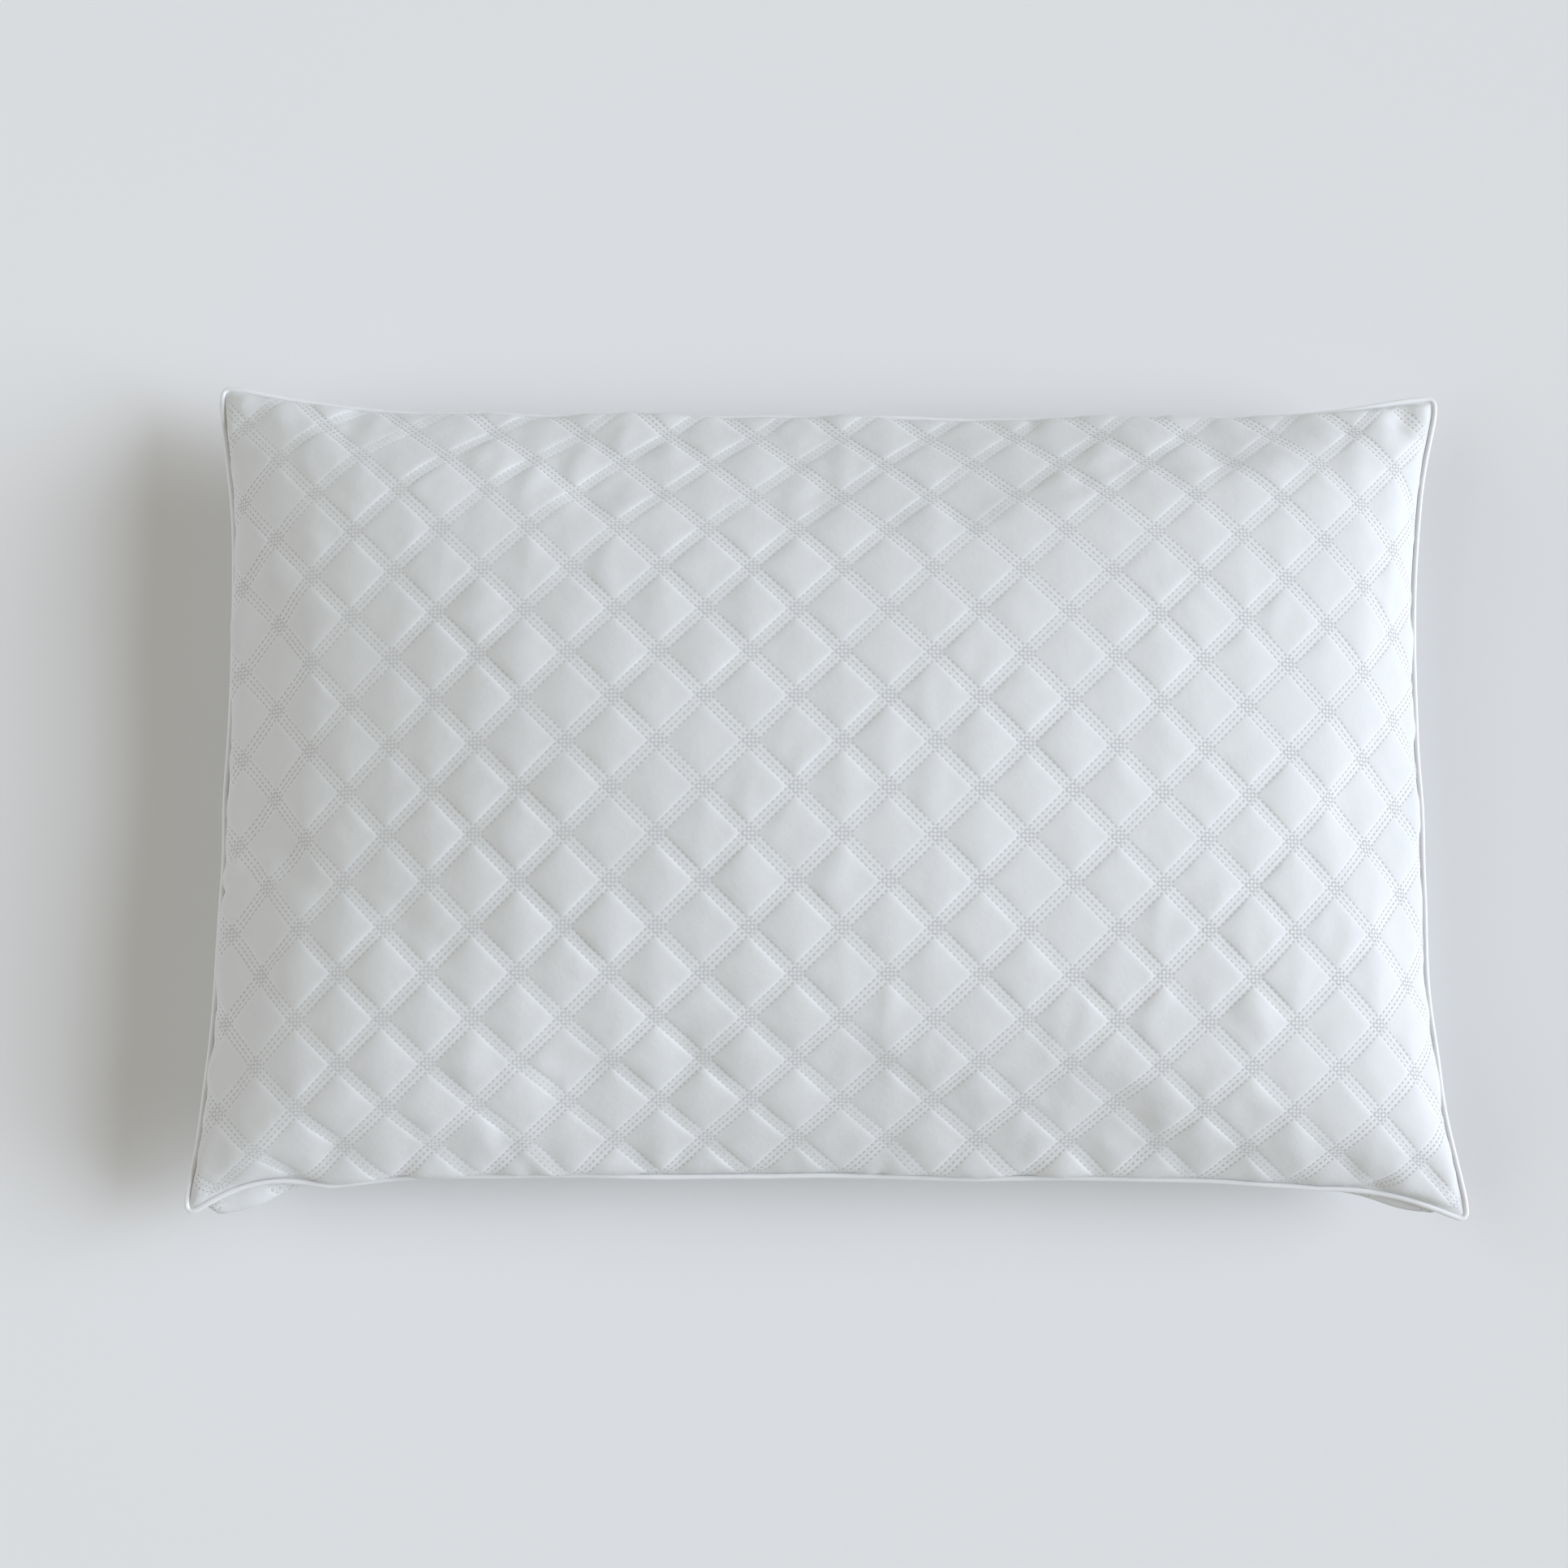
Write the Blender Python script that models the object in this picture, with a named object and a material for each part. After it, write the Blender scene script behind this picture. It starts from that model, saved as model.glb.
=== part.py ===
"""A quilted bed pillow: two quilted panels, a piping between them and a fibre fill.

Metres, +Z up, +X along the pillow's length. The origin is at the centre of the patch
that the pillow rests on. Both panels are cut from one rectangle and are joined in a
single seam, which runs round the pillow at about half its height.
"""

import math

import bmesh
import bpy
import numpy as np

# Driving dimensions
CUT_LENGTH = 0.762  # each panel as it is cut, seam to seam
CUT_WIDTH = 0.508
CROWN_RISE = 0.084  # the top of the pillow over its seam
SEAM_HEIGHT = 0.059  # the seam over the surface below, at the middle of each side
CORNER_DROP = 0.008  # how much lower the seam lies at the corners
SIDE_PULL_LENGTH = 0.021  # how far the middle of each short side is drawn in
SIDE_PULL_WIDTH = 0.024  # how far the middle of each long side is drawn in
CORNER_ROUND = 0.0035  # how far each corner is cut back, along both edges

# Fabric layers, from the outside in
FACE_THICK = 0.0005
WADDING_THICK = 0.0030
BACKING_THICK = 0.0004
FILL_INSET = 0.0125  # the fill stops this far inside the seam line
GAP = 0.0003  # left between neighbours

# Piping and sewing thread
CORD_RADIUS = 0.0011
SLEEVE_THICK = 0.0003
FLANGE_WIDTH = 0.0080
THREAD_RADIUS = 0.0002
SEAM_STITCH_INSET = 0.0026  # the perimeter seam's distance inside the seam line
CLOSING_STITCH_INSET = 0.0036
CLOSING_GAP = 0.26  # the length of the long side that is sewn shut last

# How the panels bulge: exponents of the profiles along the length and the width
LENGTH_POWER = 2.1
LENGTH_FULLNESS = 0.69
WIDTH_POWER = 1.94
WIDTH_FULLNESS = 0.80
CORNER_FULLNESS = 1.5
PULL_POWER_LENGTH = 9
PULL_POWER_WIDTH = 5
OUTLINE_POWER_LENGTH = 3.7
OUTLINE_POWER_WIDTH = 5.5
ROUND_POWER = 38
DROP_POWER = 6

# How the bottom panel flattens where it lies on the surface below
BOTTOM_GAIN = 2.1
BOTTOM_KNEE = 1.5

# Mesh
CELLS_LENGTH = 20
CELLS_WIDTH = 14
EDGE_BIAS = 0.4  # crowds the rows of the grid towards the seam
CORD_SIDES = 6
SLEEVE_SIDES = 8

SLEEVE_INNER = CORD_RADIUS + GAP
SLEEVE_OUTER = SLEEVE_INNER + SLEEVE_THICK
PLY_INNER = GAP / 2
PLY_OUTER = PLY_INNER + SLEEVE_THICK
PIPING_AXIS = SLEEVE_OUTER + GAP  # outside the seam line
THREAD_LEVEL = PLY_OUTER + GAP + THREAD_RADIUS
RIM_CLEAR = THREAD_LEVEL + THREAD_RADIUS + GAP  # from the seam's plane to each panel


def crowd(g):
    """Moves evenly spaced grid places, -1 to 1, towards the ends."""
    return g * (1 + EDGE_BIAS * (1 - g * g))


def fullness(s, t):
    """The bulge of a panel over its seam, 0 at the seam to 1 at the crown."""
    along = abs(s) ** LENGTH_POWER
    across = abs(t) ** WIDTH_POWER
    bulge = max(0.0, 1 - along) ** LENGTH_FULLNESS * max(0.0, 1 - across) ** WIDTH_FULLNESS
    return bulge * (1 + CORNER_FULLNESS * along * across)


def outline(s, t):
    """The place in plan of the cut panel's point (s, t), both from -1 to 1."""
    cut_back = CORNER_ROUND * abs(s * t) ** ROUND_POWER
    pull_x = SIDE_PULL_LENGTH * abs(s) ** PULL_POWER_LENGTH * (1 - abs(t) ** OUTLINE_POWER_LENGTH)
    pull_y = SIDE_PULL_WIDTH * abs(t) ** PULL_POWER_WIDTH * (1 - abs(s) ** OUTLINE_POWER_WIDTH)
    x = math.copysign(abs(s) * CUT_LENGTH / 2 - pull_x - cut_back, s)
    y = math.copysign(abs(t) * CUT_WIDTH / 2 - pull_y - cut_back, t)
    return x, y


def seam_level(x, y):
    """The height of the seam's surface over the surface below, at a place in plan."""
    near_corner = abs(x / (CUT_LENGTH / 2) * y / (CUT_WIDTH / 2))
    return SEAM_HEIGHT - CORNER_DROP * near_corner**DROP_POWER


def flattened(bulge):
    """The bulge of the bottom panel, 1 where it lies flat."""
    share = min(1.0, BOTTOM_GAIN * bulge / BOTTOM_KNEE)
    return 1 - (1 - share) ** BOTTOM_KNEE


def drawn_in(x, y, inset):
    """A place in plan, moved inwards in proportion, by inset at the seam."""
    return x * (1 - inset / (CUT_LENGTH / 2)), y * (1 - inset / (CUT_WIDTH / 2))


def top_place(s, t, depth, inset, clear):
    """A point of the top panel's surface at this depth."""
    x, y = drawn_in(*outline(s, t), inset)
    return x, y, seam_level(x, y) + clear + (CROWN_RISE - clear - depth) * fullness(s, t)


def bottom_place(s, t, depth, inset, clear):
    """A point of the bottom panel's surface at this depth."""
    x, y = drawn_in(*outline(s, t), inset)
    flat = flattened(fullness(s, t))
    return x, y, (seam_level(x, y) - clear) * (1 - flat) + depth * flat


def add_surface(bm, place, depth, inset, clear):
    """A grid of triangles over one surface, split along the lines that lead to the corners.

    Returns its vertices, row by row."""
    made = bmesh.ops.create_grid(bm, x_segments=CELLS_LENGTH, y_segments=CELLS_WIDTH, size=1.0)
    quads = {face for vert in made["verts"] for face in vert.link_faces}
    for split, quadrants in (("FIXED", 1), ("ALTERNATE", -1)):
        chosen = []
        for face in quads:
            middle = face.calc_center_median()
            if quadrants * middle.x * middle.y > 0:
                chosen.append(face)
        bmesh.ops.triangulate(bm, faces=chosen, quad_method=split)
    for vert in made["verts"]:
        s, t = crowd(vert.co.x), crowd(vert.co.y)
        vert.co = place(s, t, depth, inset, clear)
    return made["verts"]


def add_object(name, bm, material):
    """Makes the mesh face outwards and puts it in the scene."""
    bmesh.ops.recalc_face_normals(bm, faces=bm.faces)
    if bm.calc_volume(signed=True) < 0:
        bmesh.ops.reverse_faces(bm, faces=bm.faces)
    mesh = bpy.data.meshes.new(name)
    bm.to_mesh(mesh)
    bm.free()
    mesh.shade_smooth()
    mesh.set_sharp_from_angle(angle=math.radians(40))
    mesh.materials.append(material)
    thing = bpy.data.objects.new(name, mesh)
    bpy.context.scene.collection.objects.link(thing)
    return thing


def fabric(name, colour, roughness):
    """A matt white cloth, wadding or thread."""
    material = bpy.data.materials.new(name)
    material.use_nodes = True
    shader = material.node_tree.nodes["Principled BSDF"]
    shader.inputs["Base Color"].default_value = (*colour, 1.0)
    shader.inputs["Roughness"].default_value = roughness
    shader.inputs["Metallic"].default_value = 0.0
    return material


def add_layer(name, place, outer_depth, thick, material):
    """One layer of a panel: an open dish whose rim lies just off the seam's surface."""
    bm = bmesh.new()
    outer = add_surface(bm, place, outer_depth, outer_depth, RIM_CLEAR)
    rim = [edge.verts[:] for edge in bm.edges if edge.is_boundary]
    inner_depth = outer_depth + thick
    inner = add_surface(bm, place, inner_depth, inner_depth, RIM_CLEAR)
    below = dict(zip(outer, inner))
    for a, b in rim:
        bm.faces.new((a, b, below[b], below[a]))
    add_object(name, bm, material)


def add_fill(name, depth, material):
    """The fibre fill: one closed cushion inside both backings."""
    bm = bmesh.new()
    add_surface(bm, top_place, depth, FILL_INSET, 0.0)
    add_surface(bm, bottom_place, depth, FILL_INSET, 0.0)
    bmesh.ops.remove_doubles(bm, verts=bm.verts, dist=GAP / 10)
    add_object(name, bm, material)


def rim_stations():
    """The seam line's corners in order, each with its mitred outward direction in plan."""
    along = [crowd(-1 + 2 * i / CELLS_LENGTH) for i in range(CELLS_LENGTH + 1)]
    across = [crowd(-1 + 2 * i / CELLS_WIDTH) for i in range(CELLS_WIDTH + 1)]
    places = [(s, -1.0) for s in along[:-1]]
    places += [(1.0, t) for t in across[:-1]]
    places += [(s, 1.0) for s in reversed(along[1:])]
    places += [(-1.0, t) for t in reversed(across[1:])]
    points = [np.array(outline(s, t)) for s, t in places]
    stations = []
    for i, point in enumerate(points):
        before = point - points[i - 1]
        after = points[(i + 1) % len(points)] - point
        before = before / np.linalg.norm(before)
        after = after / np.linalg.norm(after)
        out_before = np.array([before[1], -before[0]])
        out_after = np.array([after[1], -after[0]])
        mitre = (out_before + out_after) / (1 + out_before @ out_after)
        stations.append((point, mitre))
    return stations


def add_sweep(name, section, stations, closed, material):
    """Carries a closed section, points of (outwards, up), along the stations."""
    bm = bmesh.new()
    rings = []
    for point, mitre in stations:
        ring = []
        for out, up in section:
            x, y = point + mitre * out
            ring.append(bm.verts.new((x, y, seam_level(x, y) + up)))
        rings.append(ring)
    count = len(section)
    for i in range(len(rings) if closed else len(rings) - 1):
        here, there = rings[i], rings[(i + 1) % len(rings)]
        for k in range(count):
            n = (k + 1) % count
            bm.faces.new((here[k], here[n], there[n], there[k]))
    if not closed:
        bm.faces.new(rings[0])
        bm.faces.new(rings[-1])
    add_object(name, bm, material)


def arc(radius, start, end, sides, centre_out):
    """Points of (outwards, up) along an arc, from one angle to another."""
    angles = [start + (end - start) * i / sides for i in range(sides + 1)]
    return [(centre_out + radius * math.cos(a), radius * math.sin(a)) for a in angles]


def sleeve_section():
    """The bias strip, folded over the cord, with both of its edges in the flange."""
    outer_turn = math.pi - math.asin(PLY_OUTER / SLEEVE_OUTER)
    inner_turn = math.pi - math.asin(PLY_INNER / SLEEVE_INNER)
    outer = arc(SLEEVE_OUTER, outer_turn, -outer_turn, SLEEVE_SIDES, PIPING_AXIS)
    inner = arc(SLEEVE_INNER, -inner_turn, inner_turn, SLEEVE_SIDES, PIPING_AXIS)
    lower_edge = [(-FLANGE_WIDTH, -PLY_OUTER), (-FLANGE_WIDTH, -PLY_INNER)]
    upper_edge = [(-FLANGE_WIDTH, PLY_INNER), (-FLANGE_WIDTH, PLY_OUTER)]
    return outer + lower_edge + inner + upper_edge


def round_section(radius, sides, centre_out, centre_up):
    """A round cord's or thread's section."""
    turn = 2 * math.pi / sides
    return [
        (centre_out + radius * math.cos(turn * i), centre_up + radius * math.sin(turn * i))
        for i in range(sides)
    ]


def in_closing_gap(point):
    """Whether a station of the seam lies in the part of the front side sewn shut last."""
    return point[1] < 0 and abs(point[0]) < CLOSING_GAP / 2


def add_panels():
    cotton = fabric("face_cotton", (0.86, 0.87, 0.88), 0.75)
    wadding = fabric("wadding_fibre", (0.90, 0.90, 0.89), 0.95)
    backing = fabric("backing_nonwoven", (0.83, 0.83, 0.82), 0.9)
    wadding_depth = FACE_THICK + GAP
    backing_depth = wadding_depth + WADDING_THICK + GAP
    for side, place in (("top", top_place), ("bottom", bottom_place)):
        add_layer(side + "_face_fabric", place, 0.0, FACE_THICK, cotton.copy())
        add_layer(side + "_wadding", place, wadding_depth, WADDING_THICK, wadding.copy())
        add_layer(side + "_backing", place, backing_depth, BACKING_THICK, backing.copy())
    return backing_depth + BACKING_THICK + GAP


def add_piping_and_seams():
    stations = rim_stations()
    piping = fabric("piping_cotton", (0.87, 0.88, 0.89), 0.7)
    add_sweep("piping_sleeve", sleeve_section(), stations, True, piping)
    cord = fabric("cord_cotton", (0.84, 0.83, 0.80), 0.95)
    cord_section = round_section(CORD_RADIUS, CORD_SIDES, PIPING_AXIS, 0.0)
    add_sweep("piping_cord", cord_section, stations, True, cord)

    in_gap = [i for i, (point, _) in enumerate(stations) if in_closing_gap(point)]
    first, last = in_gap[0], in_gap[-1]
    thread = fabric("sewing_thread", (0.88, 0.88, 0.88), 0.5)
    seam_section = round_section(THREAD_RADIUS, 4, -SEAM_STITCH_INSET, THREAD_LEVEL)
    add_sweep(
        "perimeter_seam_thread",
        seam_section,
        stations[last:] + stations[: first + 1],
        False,
        thread,
    )
    closing_section = round_section(THREAD_RADIUS, 4, -CLOSING_STITCH_INSET, THREAD_LEVEL)
    closing_stations = stations[first - 1 : last + 2]
    add_sweep("closing_seam_thread", closing_section, closing_stations, False, thread.copy())


def main():
    for thing in list(bpy.data.objects):
        bpy.data.objects.remove(thing)
    fill_depth = add_panels()
    fill = fabric("polyester_fibre", (0.91, 0.91, 0.90), 1.0)
    add_fill("fill_core", fill_depth, fill)
    add_piping_and_seams()


main()
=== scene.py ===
"""Looks of the quilted bed pillow.

Both panels are built in the cloth's own coordinates: u runs along the pillow and v across it, in
metres from the panel's middle, so that quilting, stitches and wrinkles follow the fabric. The
panels start from the design's shape and are settled by a short cloth simulation. Every layer,
stitch and seam is then laid on the settled surfaces.
"""

import math

import bpy
import numpy as np
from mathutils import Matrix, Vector
from mathutils.geometry import delaunay_2d_cdt


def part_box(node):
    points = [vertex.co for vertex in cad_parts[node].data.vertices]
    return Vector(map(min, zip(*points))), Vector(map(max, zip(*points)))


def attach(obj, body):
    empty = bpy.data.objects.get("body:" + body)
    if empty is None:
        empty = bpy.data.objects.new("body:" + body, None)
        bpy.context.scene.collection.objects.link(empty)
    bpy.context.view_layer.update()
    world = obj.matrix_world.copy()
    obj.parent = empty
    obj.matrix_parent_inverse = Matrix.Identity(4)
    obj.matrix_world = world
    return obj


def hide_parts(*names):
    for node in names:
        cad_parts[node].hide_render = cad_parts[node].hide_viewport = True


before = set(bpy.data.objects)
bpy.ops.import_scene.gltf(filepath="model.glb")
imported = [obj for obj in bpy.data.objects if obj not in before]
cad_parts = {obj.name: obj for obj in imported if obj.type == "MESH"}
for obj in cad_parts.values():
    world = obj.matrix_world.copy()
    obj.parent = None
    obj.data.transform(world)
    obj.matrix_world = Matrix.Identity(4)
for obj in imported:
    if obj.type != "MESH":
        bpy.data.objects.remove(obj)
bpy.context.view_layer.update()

# The design's sizes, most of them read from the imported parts
CORNER_ROUND = 0.0035  # the cut panel's corner lies this far outside the face's box
FACE_LOW, FACE_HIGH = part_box("top_face_fabric")
CORD_LOW, CORD_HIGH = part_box("piping_cord")
CUT_LENGTH = FACE_HIGH[0] - FACE_LOW[0] + 2 * CORNER_ROUND
CUT_WIDTH = FACE_HIGH[1] - FACE_LOW[1] + 2 * CORNER_ROUND
CROWN_HEIGHT = FACE_HIGH[2]
CORD_RADIUS = 0.0011  # as in the design
SEAM_HEIGHT = CORD_HIGH[2] - CORD_RADIUS
CORNER_DROP = CORD_HIGH[2] - CORD_LOW[2] - 2 * CORD_RADIUS
HALF_LENGTH = CUT_LENGTH / 2
HALF_WIDTH = CUT_WIDTH / 2

# The outline and bulge that the cloth starts from. They follow the design, with the small
# differences between left and right, and front and back, that a filled pillow has
PULL_LEFT = 0.0187  # how far the middle of each seam is pulled in
PULL_RIGHT = 0.0241
PULL_FRONT = 0.0266
PULL_BACK = 0.0211
PULL_POWERS_X = (9, 3.7)  # how the pull fades: towards the pillow's middle, and along the seam
PULL_POWERS_Y = (5, 5.5)
CORNER_POWER = 38  # the higher, the smaller the part of the cut that is rounded off
DROP_POWER = 6  # the higher, the nearer to the corners the seam begins to drop
CROWN_SKEW_LENGTH = 0.0151
CROWN_SKEW_WIDTH = -0.0372
CROWN_POWERS_LENGTH = (2.11, 0.694)  # the higher the first, the flatter the crown; then its edge
CROWN_POWERS_WIDTH = (1.94, 0.805)
CROWN_CORNERS = 1.54  # how much fuller the corners are than a plain product of both curves
BOTTOM_GAIN = 2.1  # the higher, the larger the patch that the pillow rests on
BOTTOM_KNEE = 1.5
THREAD_ROUNDS = 40  # of finding the evenly spaced threads
THREAD_STEP = 0.6

# How far each panel (1 is the top, -1 the bottom) swells over the seam beside it, and how far in
OVERHANG = {
    1: {"left": 0.0035, "right": 0.0008, "front": 0.0046, "back": 0.0050},
    -1: {"left": 0.0030, "right": 0.0030, "front": 0.0030, "back": 0.0030},
}
OVERHANG_IN = 0.011
OVERHANG_UNEVEN = (0.45, 0.035)  # how unevenly, and over which length
OVERHANG_POWERS = (2.5, 8)  # the higher, the narrower it is, and the nearer to the corners it runs

# The seam's waves: how far sideways and upwards, their lengths, and how far in they reach
SEAM_WAVE_SIDEWAYS = (0.0009, 0.030)
SEAM_WAVE_UPWARDS = (0.0022, 0.055)
SEAM_WAVE_IN = 0.022
STEADY = 0.2  # a noise step so long that the value hardly changes along it

# Grid of threads that the cloth simulation moves
CELLS_U = 96
CELLS_V = 64
FINER = 3  # the folds and swellings are laid on a grid this many times finer
SETTLE_FRAMES = 20
SETTLE_CAP = 0.0025  # no point settles further than this
SETTLE_PRESSURE = 0.4
SETTLE_SHRINK = -0.004  # below 0, so the cloth is a little larger than its start

# Layers of a panel, as depths below its surface at the stitches
FACE_THICK = 0.0008
WADDING_TOP = 0.0012
WADDING_UNDER = 0.0018
BACKING_TOP = 0.0022
BACKING_UNDER = 0.0026
FILL_DEPTH = 0.0050
FILL_INSET = 0.0125
FILL_LUMPS = (0.0012, 0.03)  # height and size
RIM_CLEAR = 0.0007  # from the seam's plane to each panel
RIM_TURN = 0.006  # the layers turn level over this distance from the seam
RIM_FADE = 0.010
REST_LIFT = 0.0006  # the resting patch's rows lie this far above the puffs' depth
REST_REACH = 0.008
REST_FADE = 0.03  # and they are lifted fully from here on inwards

# Quilting: a square grid turned 45 degrees, in bands of three rows
QUILT_PITCH = 0.0373
QUILT_PHASE = {1: (-0.0186, -0.0112), -1: (-0.0032, -0.0310)}  # where two bands cross
QUILT_REACH = (HALF_LENGTH + HALF_WIDTH) / math.sqrt(2)
ROW_GAP = 0.0030
STITCH = QUILT_PITCH / 11
STITCH_RADIUS = 0.00021
STITCH_SHARES = (0.07, 0.24, 0.76, 0.93)  # where each of a stitch's four points lies along it
STITCH_LIFTS = (-0.00018, 0.00004, 0.00004, -0.00018)  # and how high over the cloth
STITCH_OVER = 0.00004  # one direction is sewn over the other, and lies this much higher
STITCH_SIDES = 5
GROOVE_SIDE = (0.00028, 0.00062)  # a stitch's groove, with its painted shade, and the painted highlights by its holes fade out from here to here beside its row
GROOVE_END = (0.0003, 0.0008)  # and from a needle hole, where painted highlights take the place of the painted shade
BAND_LIGHT_END = (0.0005, 0.003)  # and the painted light on a band's flat cloth outside its rows
PUFF = 0.0009
PUFF_RANGE = (0.75, 1.25)  # the lowest and highest puff, as shares of PUFF
PUFF_FADE = 0.007  # the puffs are whole this far in from the seam
PUFF_EDGE = 2.0  # the higher, the steeper a puff rises beside its band
PUFF_ROUND = 0.9
PUFF_STRONG = (-0.24, -0.12, 0.17, 0.8)  # the top puffs more here: (u, v, reach, how much more)
STRIP_PUFF = 0.00035
STRIP_END = 0.0045
EDGE_CLEAR = 0.004  # the stitches end this far inside the seam
INNER_PUFF = 0.95  # the share of the puffs on the face's inside and on the wadding
BACKING_PUFF = -0.35  # the backing bulges the other way

# Creases of the face cloth. A crease is (direction, length, width, depth)
CREASES = [(78, 0.022, 0.0070, 0.0009), (22, 0.018, 0.0070, 0.0006), (130, 0.017, 0.0065, 0.0006)]
CREASE_BASE = (0.00075, 0.021, 0.019)  # depth, length and width of the overall unevenness
CREASE_FLOOR = 0.00045  # how far a crease may sink into the cloth
CREASE_PATCH = 0.045  # they come and go in patches of this size
CREASE_FADE = 0.012  # and are whole this far in from the seam
SEAM_CREASE = {"left": 1.1, "right": 1.3, "front": 0.8, "back": 0.7}  # how strong, by each seam
SEAM_CREASE_BELOW = 0.5
# Those by the seams: (depth, width, length, where they are whole, how far in they run)
SEAM_LONG = (0.00065, 0.0085, 0.055, 0.008, 0.045)
SEAM_SHORT = (0.0007, 0.0046, 0.030, 0.0015, 0.005)

# The looks of the plain cloths: (darker colour, lighter colour, roughness, scale of the fibres to the
# metre, depth of the relief, sheen)
LOOKS = {
    "wadding_fibre": ((0.82, 0.82, 0.81), (0.90, 0.90, 0.89), 0.90, 500, 0.0006, 0.1),
    "backing_nonwoven": ((0.78, 0.78, 0.77), (0.86, 0.86, 0.85), 0.85, 700, 0.0002, 0.1),
    "sewing_thread_look": ((0.66, 0.67, 0.675), (0.72, 0.725, 0.725), 0.5, 1500, 0.0001, 0.2),
    "polyester_fibre_look": ((0.84, 0.84, 0.83), (0.92, 0.92, 0.91), 0.95, 260, 0.002, 0.3),
    "piping_cotton_look": ((0.74, 0.75, 0.76), (0.80, 0.805, 0.81), 0.60, 900, 0.0001, 0.1),
    "cord_cotton_look": ((0.80, 0.79, 0.75), (0.87, 0.86, 0.83), 0.90, 900, 0.0002, 0.1),
}

# The light
ROOM_COLOUR = (1.0, 0.92, 0.74)
ROOM_STRENGTH = 0.30
# A window is (name, colour, strength, degrees above the floor, degrees round from the right, width)
WINDOWS = [
    ("near_window", (0.79, 0.855, 0.97), 4.25, 25, 0, 40),
    ("far_window", (0.82, 0.87, 0.95), 1.25, 30, 178, 60),
]

# Folds and unevenness
PANEL_UNEVEN = (0.0012, 0.090, 0.075)  # height, length and width
DENT_FADE = 0.008  # the hollows and puckers are whole this far in from the seam
# An ear roll is (1 for the left corner and -1 for the right, length along the seam, depth of the
# seam's curve, length and depth of the lower panel's swelling)
EAR_ROLLS = [(1, 0.085, 0.0090, 0.084, 0.0160), (-1, 0.090, 0.0040, 0.105, 0.0105)]
EAR_REACH = {1: 0.022, -1: 0.007}  # how far into each panel the seam's curve is felt
EAR_RISE = (0.30, 0.012)  # how much the seam rises for the depth of its curve, and how far in
EAR_SWELL_IN = (0.014, 0.006, 0.012)  # where the swelling peaks, how much less at the tip, how near
EAR_SWELL_FORM = (0.42, 1.5)  # the lower the first, the blunter the ear; the next narrows it
EAR_SWELL_START = (0.001, 0.022)  # from the tip
# A pucker runs in from a seam: (seam, place, slant, depth, width, length)
PUCKERS = [
    ("left", -0.068, 0.5, 0.0045, 0.0050, 0.022),
    ("front", 0.030, 0.2, 0.0030, 0.0045, 0.010),
    ("front", -0.169, -0.6, 0.0030, 0.0060, 0.020),
    ("front", -0.253, 0.3, 0.0025, 0.0050, 0.012),
    ("front", 0.318, 0.8, 0.0025, 0.0060, 0.016),
    ("back", 0.125, 0.0, 0.0025, 0.0050, 0.012),
    ("right", 0.002, 0.1, 0.0020, 0.0060, 0.010),
]
# A hollow in the panel: (middle u, middle v, direction, depth, half length, half width)
HOLLOWS = [
    (0.357, 0.236, 60, 0.0035, 0.012, 0.009),
    (-0.325, -0.045, -40, 0.0028, 0.045, 0.012),
    (-0.245, -0.085, -40, 0.0022, 0.045, 0.014),
    (-0.335, -0.215, 45, -0.0020, 0.030, 0.012),
]

# Piping
SLEEVE_OUTER = 0.0017
SLEEVE_THICK = 0.0003
PIPING_AXIS = 0.0017  # outside the seam line
FLANGE_WIDTH = 0.0080
PLY_INNER = 0.00015  # heights of the flange's two plies over the seam's plane
PLY_OUTER = 0.00045
THREAD_RADIUS = 0.0002
SEAM_THREAD_IN = 0.0026
CLOSING_THREAD_IN = 0.0036
THREAD_CLEAR = 0.0001  # from the flange to the threads
GAP_HALF = 0.13  # half of the filling gap, in the middle of the front seam

# Camera and floor
LENS = 46.58
SENSOR = 36.0
CAMERA_PLACE = (-0.0345, -0.1627, 1.2789)
CAMERA_TURN = (7.83, -0.38, 0.27)
FLOOR_HALF = 150.0  # half its side, enough for low views


# ------------------------ smooth fields


def spline_taps(x, knots):
    """Where x, counted in knots, falls: its first knot, and cubic B-spline weights and slopes."""
    first = np.clip(np.floor(x).astype(int), 0, knots - 2)
    f = x - first
    rising = -3 * f**3 + 3 * f**2 + 3 * f + 1
    weights = np.stack([(1 - f) ** 3, 3 * f**3 - 6 * f**2 + 4, rising, f**3]) / 6
    slopes = np.stack([-((1 - f) ** 2), 3 * f**2 - 4 * f, -3 * f**2 + 2 * f + 1, f**2]) / 2
    return first, weights, slopes


def soft_noise(x, y, step_x, step_y, seed):
    """A smooth random field, about -1 to 1, whose features are step_x by step_y."""
    size = 64
    gain = 1.9  # the spline flattens the values
    values = np.random.default_rng(seed).uniform(-1, 1, (size, size))
    a, b = x / step_x + 500.3, y / step_y + 500.7  # off the knots at the panel's middle
    ia, ib = np.floor(a).astype(int), np.floor(b).astype(int)
    _, wa, _ = spline_taps(a - ia, 2)
    _, wb, _ = spline_taps(b - ib, 2)
    total = 0.0
    for i in range(4):
        for j in range(4):
            total = total + wa[i] * wb[j] * values[(ia + i) % size, (ib + j) % size]
    return gain * total


def smoothstep(x, low, high):
    f = np.clip((x - low) / (high - low), 0.0, 1.0)
    return f * f * (3 - 2 * f)


def bump(x, middle, width):
    """A bell of height 1 at the middle."""
    return np.exp(-(((x - middle) / width) ** 2))


def unit(vectors):
    return vectors / np.linalg.norm(vectors, axis=1, keepdims=True)


# ------------------------ the design's shape


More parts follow.
